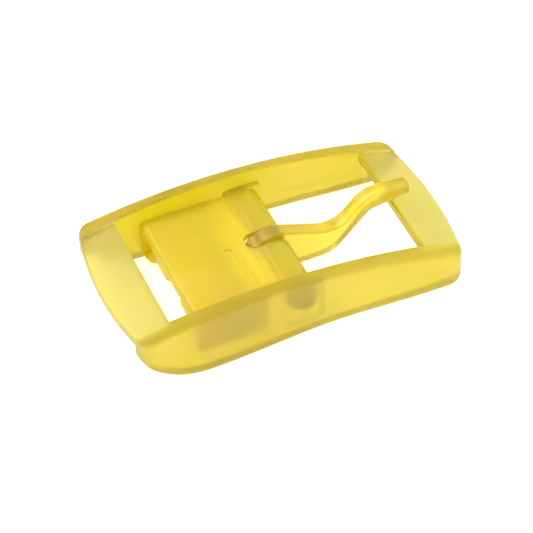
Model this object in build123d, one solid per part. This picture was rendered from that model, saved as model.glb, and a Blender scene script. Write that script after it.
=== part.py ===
from build123d import *
import math
import os

# Centre-bar belt buckle with a hinged clip for a belt that is cut to length.
# Millimetres. +X runs along the belt towards the tip of the tongue, +Y across the belt, +Z up and away
# from the wearer. The origin is on the surface that the buckle stands on, under the middle of the frame.

# ---- driving dimensions -------------------------------------------------------------------------

BELT_WIDTH = 35.0             # the strap that the buckle is made for
BELT_THICKNESS = 3.5
BELT_PLAY = 0.5               # between the belt's edge and a rail, each side

# frame
FRAME_LENGTH = 89.5           # over the two bowed ends, on the centre line
FRAME_HEIGHT = 18.5           # from the feet to the crown of the rails
RAIL_WIDTH = 3.15             # top of a side rail at its narrowest
RAIL_SWELL = 0.8              # what a rail gains inwards at SWELL_SPAN from the middle
SWELL_SPAN = 40.0
SIDE_FLARE = 1.3              # what a rail gains outwards from its top to its foot
END_BOW = 2.0                 # bulge of each end between the rails' inner faces
CORNER_RADIUS = 3.5           # corners seen from above
CROWN_X = -10.0               # where the arch of the rails' top edges is highest
RIGHT_END_DROP = 9.92         # how far that arch has come down at the right end
UNDER_ARCH = 1.6              # rise of the underside between its two feet
LEFT_FOOT_INSET = 19.25       # from the bowed end, on the centre line, to where the left heel begins
LEFT_HEEL_RADIUS = 20.6
RIGHT_FOOT_INSET = 7.2
RIGHT_HEEL_RADIUS = 8.4
RAIL_SHOULDER_RADIUS = 1.8    # along the outer top edge of a rail
RAIL_EDGE_RADIUS = 0.6        # along its other edges

# end strips, which tie the rails together
LEFT_STRIP_WIDTH = 11.0       # from the bowed end, on the centre line, to the straight inner edge
RIGHT_STRIP_WIDTH = 12.3
STRIP_THICKNESS = 2.7
STRIP_RECESS = 0.8            # below the rails' top edges
STRIP_ROOT = 0.3              # how far each strip runs on into the rails
STRIP_EDGE_RADIUS = 0.6       # along the straight inner edge
STRIP_NOSE_RADIUS = 0.9       # along the bowed outer edge

# cross bar
BAR_X = 0.0
BAR_HEIGHT = 10.0
BAR_RADIUS = 2.3
BAR_SEAT_DEPTH = 1.7          # how deep each end sits in its rail
BAR_END_CHAMFER = 0.3
SEAT_CLEARANCE = 0.03         # radial, bar in rail
PAD_WIDTH = 9.7               # square pads inside the rails, which the bar's ends pass into
PAD_BOTTOM = 2.7
PAD_TOP = 13.8
PAD_DEPTH = 1.3
PAD_CORNER_RADIUS = 1.0
PAD_EDGE_RADIUS = 0.4
PIVOT_CLEARANCE = 0.08        # radial, everything that turns on a pin
SIDE_CLEARANCE = 0.35         # between a turning piece and what is beside it

# clip
MOUTH_GAP = 6.2               # between the left strip and the clip's mouth
CLIP_PLAY = 0.65              # between the clip's cheeks and the rails, each side
KNUCKLE_RADIUS = 3.95
PLATE_TOP = 13.9              # height of the top plate
PLATE_THICKNESS = 1.8
CHEEK_THICKNESS = 1.4
CHEEK_LENGTH = 18.5           # from the mouth
CHEEK_DEPTH = 11.0            # from the plate's top to the lips' underside
CHEEK_CORNER_RADIUS = 1.6
LIP_THICKNESS = 1.5
LIP_WIDTH = 5.2               # from the cheek's outer face inwards
LIP_LENGTH = 12.0
LIP_CORNER_RADIUS = 3.2
CLIP_EDGE_RADIUS = 0.4
GROOVE_OFFSET = 6.5           # from the bar's axis to the shallow groove across the plate
GROOVE_RADIUS = 3.0
GROOVE_DEPTH = 0.12
VALLEY_OFFSET = 4.3           # from the bar's axis to the hollow beside the knuckle
VALLEY_RADIUS = 4.0
VALLEY_DEPTH = 0.25
SLOT_REACH = 7.0              # from the bar's axis to the rounded end of the tongue's slot
RIB_COUNT = 3                 # ribs under the plate that grip the belt
RIB_PITCH = 1.5
RIB_HEIGHT = 0.35
GATE_OFFSET = 11.8            # moulding mark on the plate, from the bar's axis
GATE_Y = -1.1
GATE_RADIUS = 1.0
GATE_DEPTH = 0.35

# clamp jaw
JAW_PIVOT_INSET = 4.2         # from the cheeks' inner ends to the jaw's pivot
JAW_PIVOT_LIFT = 2.7          # from the lips' underside to the jaw's pivot
JAW_PIN_RADIUS = 1.2
JAW_PIN_RECESS = 0.2          # pin's end, below the cheek's outer face
JAW_BARREL_RADIUS = 2.0
JAW_LEVER_THICKNESS = 1.7
JAW_MOUTH_GAP = 1.6           # lever's end, short of the clip's mouth
JAW_BITE = 0.6                # how far the teeth press into the belt
JAW_TOOTH_COUNT = 3
JAW_TOOTH_PITCH = 1.2
JAW_TOOTH_HEIGHT = 0.8
JAW_LIP_GAP = 0.4             # between the lever's edge and a lip
THUMB_RADIUS = 6.0            # scoop in the lever's end
THUMB_DEPTH = 1.8

# tongue
TONGUE_WIDTH = 3.8
TONGUE_EDGE_RADIUS = 0.5
SLOT_CLEARANCE = 0.6          # between the tongue and its slot, each side
EYE_RADIUS = 5.2              # hub round the bar
TAIL_REACH = 6.3              # from the bar's axis to the back of the hub's tail
TAIL_RADIUS = 2.6
TAIL_LIFT = 0.9               # of the tail's middle above the bar's axis
BLADE_HEIGHT = 1.9            # of the blade's lower edge
HEEL_OFFSET = 4.1             # from the bar's axis to the blade's lower corner
HEEL_CORNER_RADIUS = 3.0
SWAN_ANGLE = 48.5             # slope of the rise to the tip, in degrees
SWAN_THICKNESS = 5.2          # of the rise, measured along X
NECK_ANGLE = 21.5             # slope of the top edge as it leaves the eye, in degrees
VALLEY_X = 17.35              # where the top edge turns up
HOLLOW_RADIUS = 7.0
TIP_LAP = 4.3                 # tip's reach past the right strip's inner edge
TIP_LIFT = 2.5                # tip's underside above that strip, as the buckle lies
TIP_THICKNESS = 2.3
TIP_DROOP = 6.0               # slope of the tip's top, in degrees
TIP_RISE = 9.0                # slope of the tip's underside, in degrees
CREST_RADIUS = 7.0
THROAT_RADIUS = 4.0
SOLE_RADIUS = 7.0

# ---- derived sizes ------------------------------------------------------------------------------

HALF_LENGTH = FRAME_LENGTH / 2
CROWN_RADIUS = ((HALF_LENGTH - CROWN_X) ** 2 + RIGHT_END_DROP ** 2) / (2 * RIGHT_END_DROP)
INNER_HALF = BELT_WIDTH / 2 + BELT_PLAY
OUTER_HALF = INNER_HALF + RAIL_WIDTH
LEFT_FOOT_X = -HALF_LENGTH + LEFT_FOOT_INSET
RIGHT_FOOT_X = HALF_LENGTH - RIGHT_FOOT_INSET
LEFT_STRIP_EDGE = -HALF_LENGTH + LEFT_STRIP_WIDTH
RIGHT_STRIP_EDGE = HALF_LENGTH - RIGHT_STRIP_WIDTH
MOUTH_X = LEFT_STRIP_EDGE + MOUTH_GAP
CHEEK_END = MOUTH_X + CHEEK_LENGTH
CLIP_HALF = INNER_HALF - RAIL_SWELL * (MOUTH_X / SWELL_SPAN) ** 2 - CLIP_PLAY
CHEEK_INSIDE = CLIP_HALF - CHEEK_THICKNESS
KNUCKLE_HALF = INNER_HALF - PAD_DEPTH - SIDE_CLEARANCE
SLOT_HALF = TONGUE_WIDTH / 2 + SLOT_CLEARANCE
PLATE_BOTTOM = PLATE_TOP - PLATE_THICKNESS
CHEEK_BOTTOM = PLATE_TOP - CHEEK_DEPTH
JAW_PIVOT_X = CHEEK_END - JAW_PIVOT_INSET
JAW_PIVOT_Z = CHEEK_BOTTOM + JAW_PIVOT_LIFT
JAW_HALF = CLIP_HALF - LIP_WIDTH - JAW_LIP_GAP
TOOTH_TOP = PLATE_BOTTOM - BELT_THICKNESS + JAW_BITE
PIVOT_BORE = BAR_RADIUS + PIVOT_CLEARANCE
FAR = 2 * FRAME_LENGTH        # beyond the part on every side
OVERRUN = 1.0                 # how far a shape that is cut to size starts out past the cut
TOUCH = 1e-3                  # how close a point is to a face that it lies on
SNUG = 0.05                   # the same, for a face that is drawn as one arc and worked out as another


# ---- helpers ------------------------------------------------------------------------------------

def block(x0, x1, y0, y1, z0, z1):
    """A box between two corners."""
    return Pos((x0 + x1) / 2, (y0 + y1) / 2, (z0 + z1) / 2) * Box(x1 - x0, y1 - y0, z1 - z0)


def rod(x, z, radius, y0, y1):
    """A round bar along Y."""
    return Pos(x, (y0 + y1) / 2, z) * Rot(90, 0, 0) * Cylinder(radius, abs(y1 - y0))


def side_prism(face, y0, y1):
    """A face drawn in X and Z, between two stations along Y."""
    return Pos(0, y1, 0) * extrude(Plane.XZ * face, y1 - y0, dir=(0, -1, 0))


def edges_where(solid, chosen):
    """The edges for which chosen, given the edge's middle, is true."""
    return ShapeList([edge for edge in solid.edges() if chosen(edge @ 0.5)])


def side_edges(solid, y):
    """The edges of a solid's two flat sides, which are at y and -y."""
    return edges_where(solid, lambda middle: abs(abs(middle.Y) - y) < TOUCH)


def crown(x, drop=0.0):
    """Height of the rails' top arch at x, less drop."""
    return FRAME_HEIGHT - drop - CROWN_RADIUS + math.sqrt(CROWN_RADIUS ** 2 - (x - CROWN_X) ** 2)


def inner_half(x):
    """Half the width between the rails at x."""
    return INNER_HALF - RAIL_SWELL * (x / SWELL_SPAN) ** 2


def arch(x0, x1, drop=0.0):
    """The rails' top arch between two stations, lowered by drop."""
    return ThreePointArc(*[(x, crown(x, drop)) for x in (x0, (x0 + x1) / 2, x1)])


# ---- frame --------------------------------------------------------------------------------------

def plan_outline(height):
    """The frame seen from above, with bowed ends and rounded corners, as wide as it is at one height."""
    half_width = OUTER_HALF + SIDE_FLARE * (1 - height / FRAME_HEIGHT)
    corner = HALF_LENGTH - END_BOW * (half_width / INNER_HALF) ** 2
    sketch = make_face([
        Line((corner, half_width), (-corner, half_width)),
        ThreePointArc((-corner, half_width), (-HALF_LENGTH, 0), (-corner, -half_width)),
        Line((-corner, -half_width), (corner, -half_width)),
        ThreePointArc((corner, -half_width), (HALF_LENGTH, 0), (corner, half_width)),
    ])
    return Plane.XY.offset(height) * fillet(sketch.vertices(), CORNER_RADIUS)


def heel(foot, end, radius):
    """The arc that lifts a rail's underside from its foot to a station past the frame's end."""
    direction = math.copysign(1, end - foot)
    turn = math.asin(abs(end - foot) / radius)
    middle = (foot + direction * radius * math.sin(turn / 2), radius * (1 - math.cos(turn / 2)))
    return ThreePointArc((foot, 0), middle, (end, radius * (1 - math.cos(turn))))


def rail_face():
    """Side view of a rail, past both ends: arched top and underside, and a heel that lifts at each end."""
    end = HALF_LENGTH + OVERRUN
    left_heel = heel(LEFT_FOOT_X, -end, LEFT_HEEL_RADIUS)
    right_heel = heel(RIGHT_FOOT_X, end, RIGHT_HEEL_RADIUS)
    underside = Spline(
        (RIGHT_FOOT_X, 0), ((LEFT_FOOT_X + RIGHT_FOOT_X) / 2, UNDER_ARCH), (LEFT_FOOT_X, 0),
        tangents=[(-1, 0), (-1, 0)],
    )
    return make_face([
        arch(-end, end),
        Line((end, crown(end)), right_heel @ 1),
        right_heel,
        underside,
        left_heel,
        Line(left_heel @ 1, (-end, crown(-end))),
    ])


def rail_gap():
    """The space between the rails, which narrows towards the ends as the rails swell."""
    def inner_edge(side):
        end = HALF_LENGTH + END_BOW
        return ThreePointArc(*[(x, side * inner_half(x)) for x in (-end, 0, end)])
    far_edge, near_edge = inner_edge(1), inner_edge(-1)
    ends = [Line(far_edge @ 1, near_edge @ 1), Line(near_edge @ 0, far_edge @ 0)]
    face = make_face([far_edge, near_edge, *ends])
    return extrude(face, FAR, both=True)


def make_rails(outline):
    """The two rails: a broad shoulder along each outer top edge and a small radius on every other edge."""
    whole = outline & side_prism(rail_face(), -FAR, FAR)
    top = edges_where(whole, lambda m: abs(m.Z - crown(m.X)) < SNUG)
    rails = fillet(top, RAIL_SHOULDER_RADIUS) - rail_gap()

    def is_sharp(middle):
        on_inner_face = abs(abs(middle.Y) - inner_half(middle.X)) < SNUG
        return on_inner_face or middle.Z < crown(middle.X, 1.5 * RAIL_SHOULDER_RADIUS)
    return fillet(edges_where(rails, is_sharp), RAIL_EDGE_RADIUS)


def strip_face(inner, side):
    """Side view of an end strip, between its straight inner edge and past the bowed end."""
    past = side * (HALF_LENGTH + END_BOW)
    under = STRIP_RECESS + STRIP_THICKNESS
    return make_face([
        arch(inner, past, STRIP_RECESS),
        Line((past, crown(past, STRIP_RECESS)), (past, crown(past, under))),
        arch(past, inner, under),
        Line((inner, crown(inner, under)), (inner, crown(inner, STRIP_RECESS))),
    ])


def make_strip(outline, side, inner):
    """A thin end strip whose ends run on into the rails, with every long edge rounded."""
    reach = INNER_HALF + STRIP_ROOT
    strip = outline & side_prism(strip_face(inner, side), -reach, reach)
    nose = edges_where(strip, lambda m: abs(m.Y) < TOUCH and abs(m.X) > HALF_LENGTH - END_BOW)
    strip = fillet(nose, STRIP_NOSE_RADIUS)
    straight = edges_where(strip, lambda m: abs(m.Y) < TOUCH and abs(m.X - inner) < TOUCH)
    return fillet(straight, STRIP_EDGE_RADIUS)


def make_pad(side):
    """A square pad on a rail's inner face, round the cross bar's end."""
    face, root = side * (INNER_HALF - PAD_DEPTH), side * (INNER_HALF + RAIL_WIDTH / 2)
    outline = Pos(BAR_X, (PAD_BOTTOM + PAD_TOP) / 2) * RectangleRounded(
        PAD_WIDTH, PAD_TOP - PAD_BOTTOM, PAD_CORNER_RADIUS)
    pad = side_prism(outline, *sorted((root, face)))
    return fillet(edges_where(pad, lambda m: abs(m.Y - face) < TOUCH), PAD_EDGE_RADIUS)


def make_frame():
    """Two arched rails tied by two thin end strips, with a bored pad on each rail for the cross bar."""
    outline = loft([plan_outline(-OVERRUN), plan_outline(FRAME_HEIGHT + OVERRUN)], ruled=True)
    frame = make_rails(outline)
    for side, inner in ((-1, LEFT_STRIP_EDGE), (1, RIGHT_STRIP_EDGE)):
        frame += make_strip(outline, side, inner)
    for side in (-1, 1):
        seat = side * (INNER_HALF + BAR_SEAT_DEPTH)
        frame += make_pad(side)
        frame -= rod(BAR_X, BAR_HEIGHT, BAR_RADIUS + SEAT_CLEARANCE, *sorted((seat, 0)))
    return frame


# ---- cross bar ----------------------------------------------------------------------------------

def make_cross_bar():
    """A round bar whose chamfered ends sit in the rails."""
    half = INNER_HALF + BAR_SEAT_DEPTH
    bar = rod(BAR_X, BAR_HEIGHT, BAR_RADIUS, -half, half)
    return chamfer(bar.edges().filter_by(GeomType.CIRCLE), BAR_END_CHAMFER)


# ---- clip ---------------------------------------------------------------------------------------

def make_clip_body():
    """Top plate, two cheeks with inturned lips, and a slotted knuckle that turns on the cross bar."""
    middle = ((MOUTH_X + CHEEK_END) / 2, (CHEEK_BOTTOM + PLATE_TOP) / 2)
    pocket = Pos(*middle) * RectangleRounded(CHEEK_LENGTH, CHEEK_DEPTH, CHEEK_CORNER_RADIUS)
    clip = side_prism(pocket, -CLIP_HALF, CLIP_HALF)
    clip = fillet(side_edges(clip, CLIP_HALF), CLIP_EDGE_RADIUS)
    clip += block(CHEEK_END - CHEEK_CORNER_RADIUS, BAR_X, -KNUCKLE_HALF, KNUCKLE_HALF, PLATE_BOTTOM, PLATE_TOP)
    clip += rod(BAR_X, BAR_HEIGHT, KNUCKLE_RADIUS, -KNUCKLE_HALF, KNUCKLE_HALF)
    lip_top = CHEEK_BOTTOM + LIP_THICKNESS
    clip -= block(-FAR, CHEEK_END + CHEEK_CORNER_RADIUS, -CHEEK_INSIDE, CHEEK_INSIDE, lip_top, PLATE_BOTTOM)
    clip -= lip_cut()
    clip += make_ribs()
    for offset, radius, depth in (
        (GROOVE_OFFSET, GROOVE_RADIUS, GROOVE_DEPTH),
        (VALLEY_OFFSET, VALLEY_RADIUS, VALLEY_DEPTH),
    ):
        clip -= rod(BAR_X - offset, PLATE_TOP + radius - depth, radius, -FAR, FAR)
    clip -= rod(BAR_X, BAR_HEIGHT, PIVOT_BORE, -FAR, FAR)
    clip -= tongue_slot()
    clip -= rod(JAW_PIVOT_X, JAW_PIVOT_Z, JAW_PIN_RADIUS + PIVOT_CLEARANCE, -FAR, FAR)
    gate = Pos(BAR_X - GATE_OFFSET, GATE_Y, PLATE_TOP) * Cylinder(GATE_RADIUS, 2 * GATE_DEPTH)
    return clip - gate


def lip_cut():
    """What leaves the two lips: the gap between them, rounded at the mouth, and all past their length."""
    lip_inside = CLIP_HALF - LIP_WIDTH
    lip_end = MOUTH_X + LIP_LENGTH
    below, above = CHEEK_BOTTOM - OVERRUN, CHEEK_BOTTOM + LIP_THICKNESS
    cut = block(-FAR, FAR, -lip_inside, lip_inside, below, above)
    cut += block(lip_end, FAR, -CHEEK_INSIDE, CHEEK_INSIDE, below, above)
    for side in (-1, 1):
        corner_x, corner_y = MOUTH_X, side * lip_inside
        centre_x, centre_y = MOUTH_X + LIP_CORNER_RADIUS, side * (lip_inside + LIP_CORNER_RADIUS)
        y0, y1 = sorted((corner_y, centre_y))
        rounding = block(corner_x, centre_x, y0, y1, below, above)
        rounding -= Pos(centre_x, centre_y, above) * Cylinder(LIP_CORNER_RADIUS, FAR)
        cut += rounding
    return cut


def make_ribs():
    """Low triangular ribs under the plate, in a row that ends above the jaw's pivot."""
    ribs = Part()
    for i in range(RIB_COUNT):
        x = JAW_PIVOT_X + (i + 1) * RIB_PITCH
        foot, crest = PLATE_BOTTOM, PLATE_BOTTOM - RIB_HEIGHT
        face = make_face(Polyline((x - RIB_HEIGHT, foot), (x, crest), (x + RIB_HEIGHT, foot), close=True))
        ribs += side_prism(face, -CHEEK_INSIDE, CHEEK_INSIDE)
    return ribs


def tongue_slot():
    """The slot that the tongue swings in: round at the plate, open through the knuckle."""
    round_x = BAR_X - SLOT_REACH + SLOT_HALF
    slot = block(round_x, FAR, -SLOT_HALF, SLOT_HALF, -FAR, FAR)
    return slot + Pos(round_x, 0, 0) * Cylinder(SLOT_HALF, 2 * FAR)


# ---- clamp jaw ----------------------------------------------------------------------------------

def make_clamp_jaw():
    """A lever between the lips, a barrel on two short pins, and a toothed nose that bites the belt."""
    end = MOUTH_X + JAW_MOUTH_GAP
    lever_top = JAW_PIVOT_Z + JAW_LEVER_THICKNESS / 2
    jaw = block(end, JAW_PIVOT_X, -JAW_HALF, JAW_HALF, lever_top - JAW_LEVER_THICKNESS, lever_top)
    jaw += rod(JAW_PIVOT_X, JAW_PIVOT_Z, JAW_BARREL_RADIUS, -JAW_HALF, JAW_HALF)
    pin_half = CLIP_HALF - JAW_PIN_RECESS
    jaw += rod(JAW_PIVOT_X, JAW_PIVOT_Z, JAW_PIN_RADIUS, -pin_half, pin_half)
    jaw += side_prism(nose_face(), -JAW_HALF, JAW_HALF)
    scoop_x = end - THUMB_RADIUS + THUMB_DEPTH
    return jaw - Pos(scoop_x, 0, lever_top) * Cylinder(THUMB_RADIUS, FAR)


def nose_face():
    """Side view of the nose above the barrel, cut into saw teeth."""
    root = TOOTH_TOP - JAW_TOOTH_HEIGHT
    start = JAW_PIVOT_X - JAW_TOOTH_COUNT * JAW_TOOTH_PITCH / 2
    points = [(start, JAW_PIVOT_Z), (start, root)]
    for i in range(JAW_TOOTH_COUNT):
        tip_x = start + (i + 1) * JAW_TOOTH_PITCH
        points += [(tip_x, TOOTH_TOP), (tip_x, root)]
    points += [(points[-1][0], JAW_PIVOT_Z)]
    return make_face(Polyline(*points, close=True))


# ---- tongue -------------------------------------------------------------------------------------

def line_crossing(a, angle_a, b, angle_b):
    """Where a line through a meets a line through b, each with its slope in degrees."""
    slope_a, slope_b = math.tan(math.radians(angle_a)), math.tan(math.radians(angle_b))
    x = (b[1] - a[1] + slope_a * a[0] - slope_b * b[0]) / (slope_a - slope_b)
    return (x, a[1] + slope_a * (x - a[0]))


def blade_face():
    """Side view of the tongue: a deep blade from the eye, a swan-neck rise and a slim tip."""
    tip_x = RIGHT_STRIP_EDGE + TIP_LAP
    low_tip = (tip_x, crown(RIGHT_STRIP_EDGE, STRIP_RECESS) + TIP_LIFT)
    high_tip = (tip_x, low_tip[1] + TIP_THICKNESS)
    neck = math.radians(NECK_ANGLE)
    leave = (BAR_X + EYE_RADIUS * math.sin(neck), BAR_HEIGHT + EYE_RADIUS * math.cos(neck))
    valley = (VALLEY_X, leave[1] - math.tan(neck) * (VALLEY_X - leave[0]))
    crest = line_crossing(valley, SWAN_ANGLE, high_tip, -TIP_DROOP)
    throat = line_crossing((crest[0] + SWAN_THICKNESS, crest[1]), SWAN_ANGLE, low_tip, TIP_RISE)
    foot = line_crossing(throat, SWAN_ANGLE, (0, BLADE_HEIGHT), 0)
    heel = (BAR_X + HEEL_OFFSET, BLADE_HEIGHT)
    back = (BAR_X - EYE_RADIUS * math.cos(neck), BAR_HEIGHT - EYE_RADIUS * math.sin(neck))
    outline = make_face(Polyline(leave, valley, crest, high_tip, low_tip, throat, foot, heel, back, close=True))
    for point, radius in (
        (valley, HOLLOW_RADIUS), (crest, CREST_RADIUS), (throat, THROAT_RADIUS),
        (foot, SOLE_RADIUS), (heel, HEEL_CORNER_RADIUS),
    ):
        corner = outline.vertices().sort_by_distance((point[0], point[1], 0))[0]
        outline = fillet(corner, radius)
    return outline


def tail_face():
    """Side view of the hub's tail: a small circle behind the bar, joined to the hub by two straight sides."""
    centre = (BAR_X - TAIL_REACH + TAIL_RADIUS, BAR_HEIGHT + TAIL_LIFT)
    return make_hull([
        Pos(BAR_X, BAR_HEIGHT) * Circle(EYE_RADIUS - TAIL_LIFT).edge(),
        Pos(*centre) * Circle(TAIL_RADIUS).edge(),
    ])


def make_tongue():
    """The blade with its hub round the cross bar."""
    half = TONGUE_WIDTH / 2
    profile = blade_face() + Pos(BAR_X, BAR_HEIGHT) * Circle(EYE_RADIUS) + tail_face()
    tongue = side_prism(profile, -half, half)
    tongue = fillet(side_edges(tongue, half), TONGUE_EDGE_RADIUS)
    return tongue - rod(BAR_X, BAR_HEIGHT, PIVOT_BORE, -FAR, FAR)


# ---- output -------------------------------------------------------------------------------------

NODES = {
    "frame": make_frame,
    "cross_bar": make_cross_bar,
    "clip_body": make_clip_body,
    "clamp_jaw": make_clamp_jaw,
    "tongue": make_tongue,
}

os.makedirs("parts", exist_ok=True)
for name, make in NODES.items():
    shape = make()
    shape.label = name
    export_step(shape, f"parts/{name}.step")
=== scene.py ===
import math

import bpy
from bpy.props import FloatProperty, FloatVectorProperty, PointerProperty
from mathutils import Matrix, Vector


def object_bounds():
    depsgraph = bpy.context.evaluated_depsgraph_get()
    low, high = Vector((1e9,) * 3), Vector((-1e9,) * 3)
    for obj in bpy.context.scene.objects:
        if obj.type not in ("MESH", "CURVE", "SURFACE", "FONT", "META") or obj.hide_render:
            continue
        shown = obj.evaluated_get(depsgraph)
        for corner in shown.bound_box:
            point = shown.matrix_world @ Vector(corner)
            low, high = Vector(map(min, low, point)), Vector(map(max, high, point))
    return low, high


bl_info = {
    "name": "Belt buckle finish",
    "version": (1, 0, 0),
    "blender": (4, 5, 0),
    "location": "3D View > Sidebar > Buckle",
    "description": "Gives the packed belt buckle its frosted plastic, its light table and its camera",
    "category": "Object",
}

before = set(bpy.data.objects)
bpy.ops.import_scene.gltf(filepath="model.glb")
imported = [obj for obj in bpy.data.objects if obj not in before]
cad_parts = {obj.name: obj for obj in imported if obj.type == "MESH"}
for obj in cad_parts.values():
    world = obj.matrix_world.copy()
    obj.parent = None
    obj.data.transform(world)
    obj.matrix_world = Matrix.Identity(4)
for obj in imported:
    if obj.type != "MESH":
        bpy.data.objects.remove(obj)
CAD_LOW, CAD_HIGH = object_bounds()
CAD_SIZE = CAD_HIGH - CAD_LOW

MM = 0.001

# the plastic
REFRACTIVE_INDEX = 1.46
SCATTER_DEPTH = 3.0 * MM
SCATTER_SHARES = (1.0, 0.8, 0.12)     # how far red, green and blue wander under the skin
BUMP_STRENGTH = 0.35
BUMP_HEIGHT = 0.02 * MM
FLOW_STRETCH = (0.45, 1.0, 1.0)       # waves and patches are drawn out along X, as the plastic flowed
CLOUDS_PER_METRE = 55.0
CLOUD_EDGES = (0.42, 0.68)            # noise values between which a cloudy patch fades in

# the stage
TABLE_REACH = 20                      # half the table's width, in lengths of the buckle
KEY_PLACE = Vector((-0.30, 0.25, 0.55))
KEY_SIZE = 0.35
KEY_POWER = 1.8
FILL_PLACE = Vector((0.45, -0.35, 0.45))
FILL_SIZE = 0.5
FILL_POWER = 1.2
CAMERA_LEFT = 0.64 * MM               # how far the camera stands off its line of aim, across its view
CAMERA_DOWN = 10.94 * MM
SENSOR_WIDTH = 36
VIEW_SHIFT = -0.003
NEAREST = 0.01
FARTHEST = 20
LIGHT_PATHS = {"max_bounces": 32, "transmission_bounces": 32, "glossy_bounces": 16, "diffuse_bounces": 6}


# ---- settings -----------------------------------------------------------------------------------

class BuckleColours(bpy.types.PropertyGroup):
    """Colours of the see-through plastic."""

    rails: FloatVectorProperty(
        name="Rails", description="Tint of the frame's two rails",
        subtype="COLOR", size=3, min=0, max=1, default=(0.76, 0.67, 0.025))
    # painted sheen: the end strips get a paler tint than the rails, which stands in for the light that
    # their upward faces reflect
    strips: FloatVectorProperty(
        name="End strips", description="Tint of the frame's two thin end strips",
        subtype="COLOR", size=3, min=0, max=1, default=(0.77, 0.72, 0.24))
    clip: FloatVectorProperty(
        name="Clip", description="Tint of the clip's, the jaw's and the cross bar's plastic",
        subtype="COLOR", size=3, min=0, max=1, default=(0.98, 0.79, 0.02))
    tongue: FloatVectorProperty(
        name="Tongue", description="Tint of the tongue's plastic",
        subtype="COLOR", size=3, min=0, max=1, default=(0.93, 0.80, 0.12))
    haze: FloatProperty(
        name="Haze", description="How far the tint pales where the skin is cloudy",
        subtype="FACTOR", min=0, max=1, default=0.05)
    depth: FloatVectorProperty(
        name="Depth", description="What is left of white light after a long way through the plastic",
        subtype="COLOR", size=3, min=0, max=1, default=(0.99, 0.94, 0.05))
    density: FloatProperty(
        name="Density", description="How fast the plastic takes its colour, for each metre of it",
        min=0, default=250.0)


class BuckleFinish(bpy.types.PropertyGroup):
    """Surface of the moulded plastic."""

    satin: FloatProperty(
        name="Satin", description="Roughness of the frosted skin",
        subtype="FACTOR", min=0, max=1, default=0.30)
    milk: FloatProperty(
        name="Milk", description="Share of light that the plastic scatters under its skin",
        subtype="FACTOR", min=0, max=0.5, default=0.20)
    grain: FloatProperty(
        name="Grain", description="Width of one bump of the mould's spark-eroded texture",
        subtype="DISTANCE", unit="LENGTH", min=0.00005, default=0.45 * MM)
    ripple: FloatProperty(
        name="Ripple", description="Length of the soft waves that the flowing plastic leaves",
        subtype="DISTANCE", unit="LENGTH", min=0.001, default=9 * MM)


class BuckleStage(bpy.types.PropertyGroup):
    """Light table, lamps and camera."""

    azimuth: FloatProperty(
        name="Azimuth", description="Camera's turn round the buckle",
        subtype="ANGLE", unit="ROTATION", default=math.radians(-24.64))
    elevation: FloatProperty(
        name="Elevation", description="Camera's height above the table",
        subtype="ANGLE", unit="ROTATION", default=math.radians(48.02))
    distance: FloatProperty(
        name="Distance", description="From the camera to the middle of the buckle's crown",
        subtype="DISTANCE", unit="LENGTH", min=0.05, default=525.9 * MM)
    lens: FloatProperty(
        name="Lens", description="Focal length in millimetres", min=10, default=147.5)
    glow: FloatProperty(
        name="Glow", description="Brightness of the light table", min=0, default=0.64)
    sky: FloatProperty(
        name="Sky", description="Brightness of the white tent round the table", min=0, default=0.85)


# ---- shader helpers -----------------------------------------------------------------------------

def add_node(tree, kind, settings=None, values=None):
    """A node with its settings and the plain values of its inputs."""
    node = tree.nodes.new(kind)
    for key, value in (settings or {}).items():
        setattr(node, key, value)
    for key, value in (values or {}).items():
        node.inputs[key].default_value = value
    return node


def new_group(name, inputs, outputs):
    """An empty shader node group with named float, colour or vector sockets, and its two end nodes."""
    tree = bpy.data.node_groups.new(name, "ShaderNodeTree")
    for label, kind, default in inputs:
        socket = tree.interface.new_socket(label, in_out="INPUT", socket_type=kind)
        if default is not None:
            socket.default_value = default
    for label, kind in outputs:
        tree.interface.new_socket(label, in_out="OUTPUT", socket_type=kind)
    return tree, tree.nodes.new("NodeGroupInput"), tree.nodes.new("NodeGroupOutput")


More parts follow.
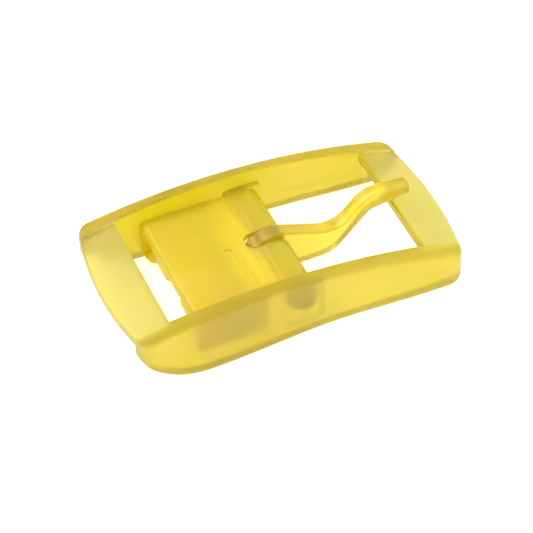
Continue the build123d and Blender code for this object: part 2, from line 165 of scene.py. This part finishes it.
def moulded_skin_group():
    """Height, roughness and clouding of frosted moulded plastic.

    The height is a fine noise for the mould's texture plus long soft waves, drawn out along the flow. The
    roughness and the clouding follow a wide noise, and the clouding gathers in small patches.
    """
    existing = bpy.data.node_groups.get("moulded_skin")
    if existing:
        return existing
    tree, source, sink = new_group(
        "moulded_skin",
        [("Vector", "NodeSocketVector", None), ("Grain Scale", "NodeSocketFloat", 2200.0),
         ("Ripple Scale", "NodeSocketFloat", 110.0), ("Ripple Share", "NodeSocketFloat", 0.6),
         ("Satin", "NodeSocketFloat", 0.3), ("Satin Spread", "NodeSocketFloat", 0.08)],
        [("Height", "NodeSocketFloat"), ("Roughness", "NodeSocketFloat"), ("Clouding", "NodeSocketFloat")])
    link = tree.links.new
    grain = add_node(tree, "ShaderNodeTexNoise", values={"Detail": 3.0, "Roughness": 0.55})
    link(source.outputs["Vector"], grain.inputs["Vector"])
    link(source.outputs["Grain Scale"], grain.inputs["Scale"])
    drawn = add_node(tree, "ShaderNodeMapping", values={"Scale": FLOW_STRETCH})
    link(source.outputs["Vector"], drawn.inputs["Vector"])
    ripple = add_node(tree, "ShaderNodeTexNoise",
                      values={"Detail": 1.5, "Roughness": 0.4, "Distortion": 0.3})
    link(drawn.outputs["Vector"], ripple.inputs["Vector"])
    link(source.outputs["Ripple Scale"], ripple.inputs["Scale"])
    waves = add_node(tree, "ShaderNodeMath", {"operation": "MULTIPLY"})
    link(ripple.outputs["Fac"], waves.inputs[0])
    link(source.outputs["Ripple Share"], waves.inputs[1])
    height = add_node(tree, "ShaderNodeMath", {"operation": "ADD"})
    link(grain.outputs["Fac"], height.inputs[0])
    link(waves.outputs["Value"], height.inputs[1])
    link(height.outputs["Value"], sink.inputs["Height"])
    cloud = add_node(tree, "ShaderNodeTexNoise",
                     values={"Scale": CLOUDS_PER_METRE, "Detail": 4.0, "Roughness": 0.6})
    link(drawn.outputs["Vector"], cloud.inputs["Vector"])
    patches = add_node(tree, "ShaderNodeMapRange", {"interpolation_type": "SMOOTHSTEP"},
                       {"From Min": CLOUD_EDGES[0], "From Max": CLOUD_EDGES[1]})
    link(cloud.outputs["Fac"], patches.inputs["Value"])
    link(patches.outputs["Result"], sink.inputs["Clouding"])
    spread = add_node(tree, "ShaderNodeMath", {"operation": "MULTIPLY"})
    link(patches.outputs["Result"], spread.inputs[0])
    link(source.outputs["Satin Spread"], spread.inputs[1])
    rough = add_node(tree, "ShaderNodeMath", {"operation": "ADD", "use_clamp": True})
    link(source.outputs["Satin"], rough.inputs[0])
    link(spread.outputs["Value"], rough.inputs[1])
    link(rough.outputs["Value"], sink.inputs["Roughness"])
    return tree


def sheen_mask_group():
    """One on the thin end strips and nought on the rails: where the painted sheen goes.

    The mask is one past a distance along the buckle and within a distance of its middle line. Both edges
    fade over the same short width.
    """
    existing = bpy.data.node_groups.get("painted_sheen_mask")
    if existing:
        return existing
    tree, source, sink = new_group(
        "painted_sheen_mask",
        [("Vector", "NodeSocketVector", None), ("Along", "NodeSocketFloat", 33 * MM),
         ("Across", "NodeSocketFloat", 17.6 * MM), ("Fade", "NodeSocketFloat", 1.0 * MM)],
        [("Mask", "NodeSocketFloat")])
    link = tree.links.new
    parts = add_node(tree, "ShaderNodeSeparateXYZ")
    link(source.outputs["Vector"], parts.inputs["Vector"])
    ends = []
    for axis, start in (("X", "Along"), ("Y", "Across")):
        size = add_node(tree, "ShaderNodeMath", {"operation": "ABSOLUTE"})
        link(parts.outputs[axis], size.inputs[0])
        past = add_node(tree, "ShaderNodeMath", {"operation": "SUBTRACT"})
        link(size.outputs["Value"], past.inputs[0])
        link(source.outputs[start], past.inputs[1])
        step = add_node(tree, "ShaderNodeMapRange", {"interpolation_type": "SMOOTHSTEP"})
        link(past.outputs["Value"], step.inputs["Value"])
        link(source.outputs["Fade"], step.inputs["From Max"])
        ends.append(step.outputs["Result"])
    within = add_node(tree, "ShaderNodeMath", {"operation": "SUBTRACT"}, {0: 1.0})
    link(ends[1], within.inputs[1])
    mask = add_node(tree, "ShaderNodeMath", {"operation": "MULTIPLY"})
    link(ends[0], mask.inputs[0])
    link(within.outputs["Value"], mask.inputs[1])
    link(mask.outputs["Value"], sink.inputs["Mask"])
    return tree


def paint_strip_sheen(material, colour):
    """Mixes a paler second tint into a frosted plastic on the end strips, as painted sheen for the light
    that their upward faces reflect.
    """
    tree = material.node_tree
    shader = next(node for node in tree.nodes if node.type == "BSDF_PRINCIPLED")
    tint = shader.inputs["Base Color"].links[0].from_socket
    place = add_node(tree, "ShaderNodeTexCoord")
    mask = add_node(tree, "ShaderNodeGroup", {"node_tree": sheen_mask_group()})
    tree.links.new(place.outputs["Object"], mask.inputs["Vector"])
    # painted sheen: the mask mixes the paler strip tint over the base tint
    mix = add_node(tree, "ShaderNodeMix", {"data_type": "RGBA"})
    mix.inputs[7].default_value = (*colour, 1)
    tree.links.new(mask.outputs["Mask"], mix.inputs[0])
    tree.links.new(tint, mix.inputs[6])
    tree.links.new(mix.outputs[2], shader.inputs["Base Color"])


def frosted_plastic(name, tint_colour, scene, density_share=1.0, satin_shift=0.0, milk_shift=0.0,
                    offset=(0, 0, 0)):
    """Translucent plastic: rough glass over a plain absorbing volume, with a share of milky scatter."""
    colours, finish = scene.buckle_colours, scene.buckle_finish
    material = bpy.data.materials.new(name)
    material.use_nodes = True
    tree = material.node_tree
    tree.nodes.clear()
    link = tree.links.new
    place = add_node(tree, "ShaderNodeTexCoord")
    shifted = add_node(tree, "ShaderNodeMapping", values={"Location": offset})
    link(place.outputs["Object"], shifted.inputs["Vector"])
    skin = add_node(tree, "ShaderNodeGroup", {"node_tree": moulded_skin_group()})
    skin.inputs["Grain Scale"].default_value = 1 / finish.grain
    skin.inputs["Ripple Scale"].default_value = 1 / finish.ripple
    skin.inputs["Satin"].default_value = finish.satin + satin_shift
    link(shifted.outputs["Vector"], skin.inputs["Vector"])
    tint = add_node(tree, "ShaderNodeMix", {"data_type": "RGBA"})
    tint.inputs[6].default_value = (*tint_colour, 1)
    tint.inputs[7].default_value = (*[part + colours.haze * (1 - part) for part in tint_colour], 1)
    link(skin.outputs["Clouding"], tint.inputs[0])
    bump = add_node(tree, "ShaderNodeBump", values={"Strength": BUMP_STRENGTH, "Distance": BUMP_HEIGHT})
    link(skin.outputs["Height"], bump.inputs["Height"])
    shader = add_node(tree, "ShaderNodeBsdfPrincipled", values={
        "IOR": REFRACTIVE_INDEX, "Transmission Weight": 1 - finish.milk - milk_shift, "Metallic": 0.0,
        "Subsurface Weight": 1.0, "Subsurface Radius": SCATTER_SHARES, "Subsurface Scale": SCATTER_DEPTH})
    link(tint.outputs[2], shader.inputs["Base Color"])
    link(skin.outputs["Roughness"], shader.inputs["Roughness"])
    link(bump.outputs["Normal"], shader.inputs["Normal"])
    volume = add_node(tree, "ShaderNodeVolumeAbsorption", values={
        "Color": (*colours.depth, 1), "Density": colours.density * density_share})
    output = add_node(tree, "ShaderNodeOutputMaterial")
    link(shader.outputs["BSDF"], output.inputs["Surface"])
    link(volume.outputs["Volume"], output.inputs["Volume"])
    return material


def paint(node_name, material):
    """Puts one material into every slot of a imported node."""
    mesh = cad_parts[node_name].data
    if mesh.materials:
        for index in range(len(mesh.materials)):
            mesh.materials[index] = material
    else:
        mesh.materials.append(material)


# ---- the pieces ---------------------------------------------------------------------------------

class BUCKLE_OT_frame(bpy.types.Operator):
    """Finishes the arched frame in frosted plastic"""

    bl_idname = "buckle.frame"
    bl_label = "Frame"

    def execute(self, context):
        scene = context.scene
        plastic = frosted_plastic(
            "frame_plastic", scene.buckle_colours.rails, scene, satin_shift=0.08, milk_shift=0.06)
        # the end strips get painted sheen: a paler tint mixed in by position
        paint_strip_sheen(plastic, scene.buckle_colours.strips)
        paint("frame", plastic)
        return {"FINISHED"}


class BUCKLE_OT_cross_bar(bpy.types.Operator):
    """Finishes the round bar between the rails"""

    bl_idname = "buckle.cross_bar"
    bl_label = "Cross bar"

    def execute(self, context):
        scene = context.scene
        paint("cross_bar", frosted_plastic(
            "bar_plastic", scene.buckle_colours.clip, scene,
            density_share=1.15, satin_shift=-0.05, milk_shift=0.25, offset=(0.02, 0.05, 0.01)))
        return {"FINISHED"}


class BUCKLE_OT_clip(bpy.types.Operator):
    """Finishes the hinged clip's body"""

    bl_idname = "buckle.clip"
    bl_label = "Clip body"

    def execute(self, context):
        scene = context.scene
        paint("clip_body", frosted_plastic(
            "clip_plastic", scene.buckle_colours.clip, scene,
            density_share=1.3, satin_shift=0.02, milk_shift=0.25, offset=(0.07, 0.01, 0.03)))
        return {"FINISHED"}


class BUCKLE_OT_jaw(bpy.types.Operator):
    """Finishes the toothed clamp jaw"""

    bl_idname = "buckle.jaw"
    bl_label = "Clamp jaw"

    def execute(self, context):
        scene = context.scene
        paint("clamp_jaw", frosted_plastic(
            "jaw_plastic", scene.buckle_colours.clip, scene,
            density_share=1.3, satin_shift=0.02, milk_shift=0.25, offset=(0.03, 0.09, 0.05)))
        return {"FINISHED"}


class BUCKLE_OT_tongue(bpy.types.Operator):
    """Finishes the swan-neck tongue"""

    bl_idname = "buckle.tongue"
    bl_label = "Tongue"

    def execute(self, context):
        scene = context.scene
        paint("tongue", frosted_plastic(
            "tongue_plastic", scene.buckle_colours.tongue, scene, offset=(0.05, 0.03, 0.08)))
        return {"FINISHED"}


# ---- stage --------------------------------------------------------------------------------------

def white_material(name, brightness):
    """Matt white that also glows evenly, as the top of a light table does."""
    material = bpy.data.materials.new(name)
    material.use_nodes = True
    shader = material.node_tree.nodes["Principled BSDF"]
    shader.inputs["Base Color"].default_value = (0.92, 0.92, 0.92, 1)
    shader.inputs["Roughness"].default_value = 0.9
    shader.inputs["Specular IOR Level"].default_value = 0.1
    shader.inputs["Emission Color"].default_value = (1, 1, 1, 1)
    shader.inputs["Emission Strength"].default_value = brightness
    return material


def soft_lamp(name, place, aim, size, power):
    """A square area lamp at a place, turned to an aim."""
    data = bpy.data.lights.new(name, "AREA")
    data.shape = "SQUARE"
    data.size = size
    data.energy = power
    lamp = bpy.data.objects.new(name, data)
    turn = (aim - place).to_track_quat("-Z", "Y").to_matrix().to_4x4()
    lamp.matrix_world = Matrix.Translation(place) @ turn
    bpy.context.scene.collection.objects.link(lamp)
    return lamp


class BUCKLE_OT_stage(bpy.types.Operator):
    """Makes the light table, the white tent, the soft lamps and the camera"""

    bl_idname = "buckle.stage"
    bl_label = "Stage and camera"

    def execute(self, context):
        scene = context.scene
        stage = scene.buckle_stage
        half = TABLE_REACH * CAD_SIZE.x
        mesh = bpy.data.meshes.new("light_table")
        corners = [(-half, -half, 0), (half, -half, 0), (half, half, 0), (-half, half, 0)]
        mesh.from_pydata(corners, [], [(0, 1, 2, 3)])
        mesh.materials.append(white_material("table_white", stage.glow))
        table = bpy.data.objects.new("light_table", mesh)
        scene.collection.objects.link(table)
        world = bpy.data.worlds.new("white_tent")
        world.use_nodes = True
        world.node_tree.nodes["Background"].inputs["Strength"].default_value = stage.sky
        world.node_tree.nodes["Background"].inputs["Color"].default_value = (1, 1, 1, 1)
        scene.world = world
        centre = (CAD_LOW + CAD_HIGH) / 2
        soft_lamp("key_lamp", KEY_PLACE, centre, KEY_SIZE, KEY_POWER)
        soft_lamp("fill_lamp", FILL_PLACE, centre, FILL_SIZE, FILL_POWER)
        self.make_camera(scene, stage)
        scene.view_settings.view_transform = "Standard"
        for limit, bounces in LIGHT_PATHS.items():
            setattr(scene.cycles, limit, bounces)
        return {"FINISHED"}

    @staticmethod
    def make_camera(scene, stage):
        """A camera at an azimuth, an elevation and a distance from a point at the height of the crown."""
        turn, rise = stage.azimuth, stage.elevation
        back = Vector((math.sin(turn) * math.cos(rise), -math.cos(turn) * math.cos(rise), math.sin(rise)))
        right = Vector((math.cos(turn), math.sin(turn), 0))
        up = back.cross(right)
        middle = Vector((0, 0, CAD_HIGH.z))
        place = middle + stage.distance * back - CAMERA_LEFT * right - CAMERA_DOWN * up
        camera = bpy.data.objects.new("camera", bpy.data.cameras.new("camera"))
        camera.data.lens = stage.lens
        camera.data.sensor_width = SENSOR_WIDTH
        camera.data.clip_start = NEAREST
        camera.data.clip_end = FARTHEST
        camera.data.shift_x = VIEW_SHIFT
        camera.matrix_world = Matrix.Translation(place) @ Matrix((right, up, back)).transposed().to_4x4()
        scene.collection.objects.link(camera)
        scene.camera = camera


# ---- panel and registration ---------------------------------------------------------------------

OPERATORS = (
    BUCKLE_OT_frame, BUCKLE_OT_cross_bar, BUCKLE_OT_clip, BUCKLE_OT_jaw, BUCKLE_OT_tongue, BUCKLE_OT_stage)


GROUPS = (
    ("buckle_colours", BuckleColours), ("buckle_finish", BuckleFinish), ("buckle_stage", BuckleStage))


class BUCKLE_PT_panel(bpy.types.Panel):
    """Lists the settings and the pieces"""

    bl_idname = "BUCKLE_PT_panel"
    bl_label = "Belt buckle"
    bl_space_type = "VIEW_3D"
    bl_region_type = "UI"
    bl_category = "Buckle"

    def draw(self, context):
        for name, _ in GROUPS:
            group = getattr(context.scene, name)
            box = self.layout.box()
            for key in group.__annotations__:
                box.prop(group, key)
        for operator in OPERATORS:
            self.layout.operator(operator.bl_idname)


def register():
    for _, group in GROUPS:
        bpy.utils.register_class(group)
    for operator in OPERATORS:
        bpy.utils.register_class(operator)
    bpy.utils.register_class(BUCKLE_PT_panel)
    for name, group in GROUPS:
        setattr(bpy.types.Scene, name, PointerProperty(type=group))


def unregister():
    for name, _ in GROUPS:
        delattr(bpy.types.Scene, name)
    bpy.utils.unregister_class(BUCKLE_PT_panel)
    for operator in reversed(OPERATORS):
        bpy.utils.unregister_class(operator)
    for _, group in reversed(GROUPS):
        bpy.utils.unregister_class(group)


def main():
    register()
    for make in (bpy.ops.buckle.frame, bpy.ops.buckle.cross_bar, bpy.ops.buckle.clip, bpy.ops.buckle.jaw,
                 bpy.ops.buckle.tongue, bpy.ops.buckle.stage):
        make()


if __name__ == "__main__":
    main()
